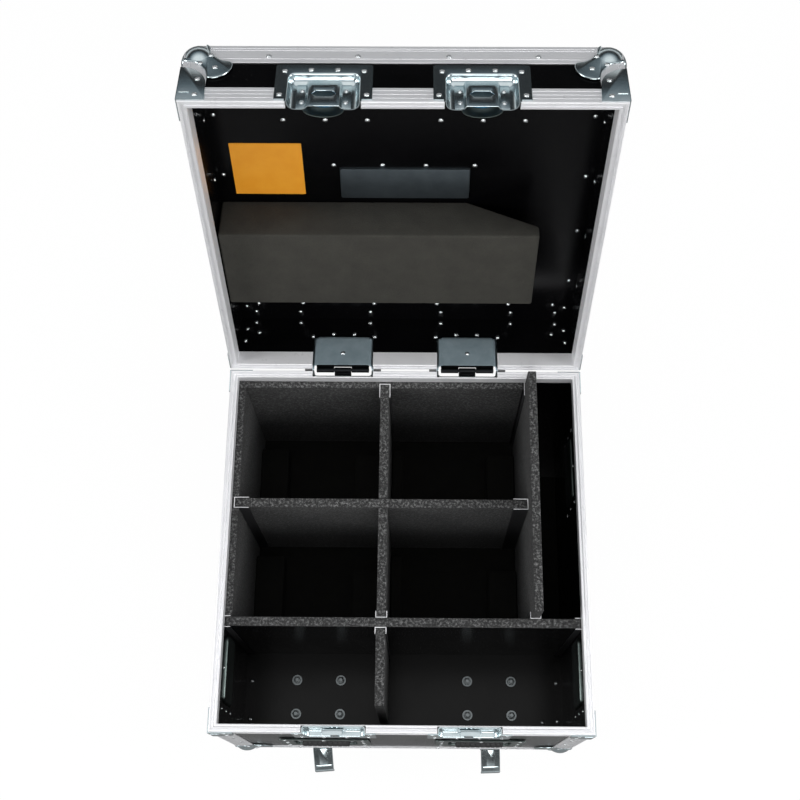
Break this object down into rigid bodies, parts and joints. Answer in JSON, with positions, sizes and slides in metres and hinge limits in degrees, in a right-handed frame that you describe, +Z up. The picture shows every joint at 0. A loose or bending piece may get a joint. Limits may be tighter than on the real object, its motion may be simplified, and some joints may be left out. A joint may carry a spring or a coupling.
{
  "type": "lighting flight case",
  "caption": "Black lighting flight case on casters, lid open on stayed hinges, with turn latches, spring handles and lift-out carpeted dividers.",
  "frame": {"origin": "middle of the footprint, on the floor under the wheels", "axes": "+Z up, the front with the latches faces -Y, +X to the right seen from the front"},
  "size_m": [0.6124, 0.9084, 1.0529],
  "materials": {
    "laminate": "glossy black laminate on plywood",
    "aluminium": "bright anodised extrusion",
    "zinc": "bright zinc plate",
    "carpet": "dark grey carpet on plywood",
    "foam": "charcoal foam",
    "rubber": "black rubber"
  },
  "bodies": {
    "base": {"base_edge_trim": "aluminium", "base_rim_profile": "aluminium", "base_shell": "laminate", "caster_plate_front_left": "zinc", "caster_plate_front_right": "zinc", "caster_plate_rear_left": "zinc", "caster_plate_rear_right": "zinc", "floor_foam": "foam", "handle_dish_front_left": "zinc", "handle_dish_front_right": "zinc", "handle_dish_left_front": "zinc", "handle_dish_left_rear": "zinc", "handle_dish_right_front": "zinc", "handle_dish_right_rear": "zinc", "hinge_base_leaf_left": "zinc", "hinge_base_leaf_right": "zinc", "latch_dish_left": "zinc", "latch_dish_right": "zinc", "wall_lining": "carpet"},
    "lid": {"hinge_lid_leaf_left": "zinc", "hinge_lid_leaf_right": "zinc", "label_dish": "zinc", "latch_keeper_left": "zinc", "latch_keeper_right": "zinc", "lid_ball_corner_back_left": "zinc", "lid_ball_corner_back_right": "zinc", "lid_ball_corner_front_left": "zinc", "lid_ball_corner_front_right": "zinc", "lid_edge_trim": "aluminium", "lid_foam": "foam", "lid_rim_back": "aluminium", "lid_rim_front": "aluminium", "lid_rim_left": "aluminium", "lid_rim_right": "aluminium", "lid_shell": "laminate"},
    "brake_pedal_front_left": {"brake_pedal_front_left": "zinc"},
    "brake_pedal_front_right": {"brake_pedal_front_right": "zinc"},
    "caster_fork_front_left": {"caster_fork_front_left": "zinc"},
    "caster_fork_front_right": {"caster_fork_front_right": "zinc"},
    "caster_fork_rear_left": {"caster_fork_rear_left": "zinc"},
    "caster_fork_rear_right": {"caster_fork_rear_right": "zinc"},
    "caster_wheel_front_left": {"caster_wheel_front_left": "rubber"},
    "caster_wheel_front_right": {"caster_wheel_front_right": "rubber"},
    "caster_wheel_rear_left": {"caster_wheel_rear_left": "rubber"},
    "caster_wheel_rear_right": {"caster_wheel_rear_right": "rubber"},
    "centre_divider": {"centre_divider": "carpet"},
    "front_cross_divider": {"front_cross_divider": "carpet"},
    "front_short_divider": {"front_short_divider": "carpet"},
    "handle_front_left": {"handle_front_left": "rubber"},
    "handle_front_right": {"handle_front_right": "rubber"},
    "handle_left_front": {"handle_left_front": "rubber"},
    "handle_left_rear": {"handle_left_rear": "rubber"},
    "handle_right_front": {"handle_right_front": "rubber"},
    "handle_right_rear": {"handle_right_rear": "rubber"},
    "latch_hook_left": {"latch_hook_left": "zinc"},
    "latch_hook_right": {"latch_hook_right": "zinc"},
    "latch_key_left": {"latch_key_left": "zinc"},
    "latch_key_right": {"latch_key_right": "zinc"},
    "middle_cross_divider": {"middle_cross_divider": "carpet"},
    "side_divider": {"side_divider": "carpet"}
  },
  "joints": [
    {"name": "lid_hinge", "type": "hinge", "parent": "base", "child": "lid", "pos_m": [0, 0.18625, 0.47088], "axis": [-1, 0, 0], "range_deg": [-105, 0]},
    {"name": "latch_key_left", "type": "hinge", "parent": "base", "child": "latch_key_left", "pos_m": [-0.106, -0.41045, 0.43588], "axis": [0, 1, 0], "range_deg": [0, 180]},
    {"name": "latch_hook_left", "type": "hinge", "parent": "base", "child": "latch_hook_left", "pos_m": [-0.106, -0.41045, 0.46238], "axis": [-1, 0, 0], "range_deg": [0, 12]},
    {"name": "latch_key_right", "type": "hinge", "parent": "base", "child": "latch_key_right", "pos_m": [0.106, -0.41045, 0.43588], "axis": [0, 1, 0], "range_deg": [0, 180]},
    {"name": "latch_hook_right", "type": "hinge", "parent": "base", "child": "latch_hook_right", "pos_m": [0.106, -0.41045, 0.46238], "axis": [-1, 0, 0], "range_deg": [0, 12]},
    {"name": "handle_front_left_swing", "type": "hinge", "parent": "base", "child": "handle_front_left", "pos_m": [-0.13, -0.41275, 0.31188], "axis": [-1, 0, 0], "range_deg": [0, 90], "stiffness_Nm_per_rad": 0.3, "springref_deg": -11.46},
    {"name": "handle_front_right_swing", "type": "hinge", "parent": "base", "child": "handle_front_right", "pos_m": [0.13, -0.41275, 0.31188], "axis": [-1, 0, 0], "range_deg": [0, 90], "stiffness_Nm_per_rad": 0.3, "springref_deg": -11.46},
    {"name": "handle_left_front_swing", "type": "hinge", "parent": "base", "child": "handle_left_front", "pos_m": [-0.2975, -0.31025, 0.39488], "axis": [0, 1, 0], "range_deg": [0, 90], "stiffness_Nm_per_rad": 0.3, "springref_deg": -11.46},
    {"name": "handle_left_rear_swing", "type": "hinge", "parent": "base", "child": "handle_left_rear", "pos_m": [-0.2975, 0.03475, 0.39488], "axis": [0, 1, 0], "range_deg": [0, 90], "stiffness_Nm_per_rad": 0.3, "springref_deg": -11.46},
    {"name": "handle_right_front_swing", "type": "hinge", "parent": "base", "child": "handle_right_front", "pos_m": [0.2975, -0.31025, 0.39488], "axis": [0, -1, 0], "range_deg": [0, 90], "stiffness_Nm_per_rad": 0.3, "springref_deg": -11.46},
    {"name": "handle_right_rear_swing", "type": "hinge", "parent": "base", "child": "handle_right_rear", "pos_m": [0.2975, 0.03475, 0.39488], "axis": [0, -1, 0], "range_deg": [0, 90], "stiffness_Nm_per_rad": 0.3, "springref_deg": -11.46},
    {"name": "caster_swivel_front_left", "type": "hinge", "parent": "base", "child": "caster_fork_front_left", "pos_m": [-0.156, -0.32725, 0.12738], "axis": [0, 0, 1], "continuous": true},
    {"name": "wheel_spin_front_left", "type": "hinge", "parent": "caster_fork_front_left", "child": "caster_wheel_front_left", "pos_m": [-0.15295, -0.36513, 0.04938], "axis": [0.9968, 0.0802, 0], "continuous": true},
    {"name": "brake_front_left", "type": "hinge", "parent": "caster_fork_front_left", "child": "brake_pedal_front_left", "pos_m": [-0.15071, -0.39304, 0.10088], "axis": [0.9968, 0.0802, 0], "range_deg": [0, 8]},
    {"name": "caster_swivel_front_right", "type": "hinge", "parent": "base", "child": "caster_fork_front_right", "pos_m": [0.156, -0.32725, 0.12738], "axis": [0, 0, 1], "continuous": true},
    {"name": "wheel_spin_front_right", "type": "hinge", "parent": "caster_fork_front_right", "child": "caster_wheel_front_right", "pos_m": [0.15752, -0.36522, 0.04938], "axis": [0.9992, 0.0401, 0], "continuous": true},
    {"name": "brake_front_right", "type": "hinge", "parent": "caster_fork_front_right", "child": "brake_pedal_front_right", "pos_m": [0.15865, -0.3932, 0.10088], "axis": [0.9992, 0.0401, 0], "range_deg": [0, 8]},
    {"name": "caster_swivel_rear_left", "type": "hinge", "parent": "base", "child": "caster_fork_rear_left", "pos_m": [-0.156, 0.09675, 0.12738], "axis": [0, 0, 1], "continuous": true},
    {"name": "wheel_spin_rear_left", "type": "hinge", "parent": "caster_fork_rear_left", "child": "caster_wheel_rear_left", "pos_m": [-0.15997, 0.05896, 0.04938], "axis": [0.9945, -0.1045, 0], "continuous": true},
    {"name": "caster_swivel_rear_right", "type": "hinge", "parent": "base", "child": "caster_fork_rear_right", "pos_m": [0.156, 0.09675, 0.12738], "axis": [0, 0, 1], "continuous": true},
    {"name": "wheel_spin_rear_right", "type": "hinge", "parent": "caster_fork_rear_right", "child": "caster_wheel_rear_right", "pos_m": [0.15931, 0.05889, 0.04938], "axis": [0.9962, 0.0872, 0], "continuous": true},
    {"name": "front_cross_divider_lift", "type": "slide", "parent": "base", "child": "front_cross_divider", "axis": [0, 0, 1], "range_m": [0, 0.34]},
    {"name": "side_divider_lift", "type": "slide", "parent": "base", "child": "side_divider", "axis": [0, 0, 1], "range_m": [0, 0.34]},
    {"name": "centre_divider_lift", "type": "slide", "parent": "base", "child": "centre_divider", "axis": [0, 0, 1], "range_m": [0, 0.34]},
    {"name": "middle_cross_divider_lift", "type": "slide", "parent": "centre_divider", "child": "middle_cross_divider", "axis": [0, 0, 1], "range_m": [0, 0.34]},
    {"name": "front_short_divider_lift", "type": "slide", "parent": "base", "child": "front_short_divider", "axis": [0, 0, 1], "range_m": [0, 0.34]}
  ],
  "couplings": [
    {"joint": "latch_hook_left", "follows": "latch_key_left", "ratio": 0.0666},
    {"joint": "latch_hook_right", "follows": "latch_key_right", "ratio": 0.0666}
  ]
}
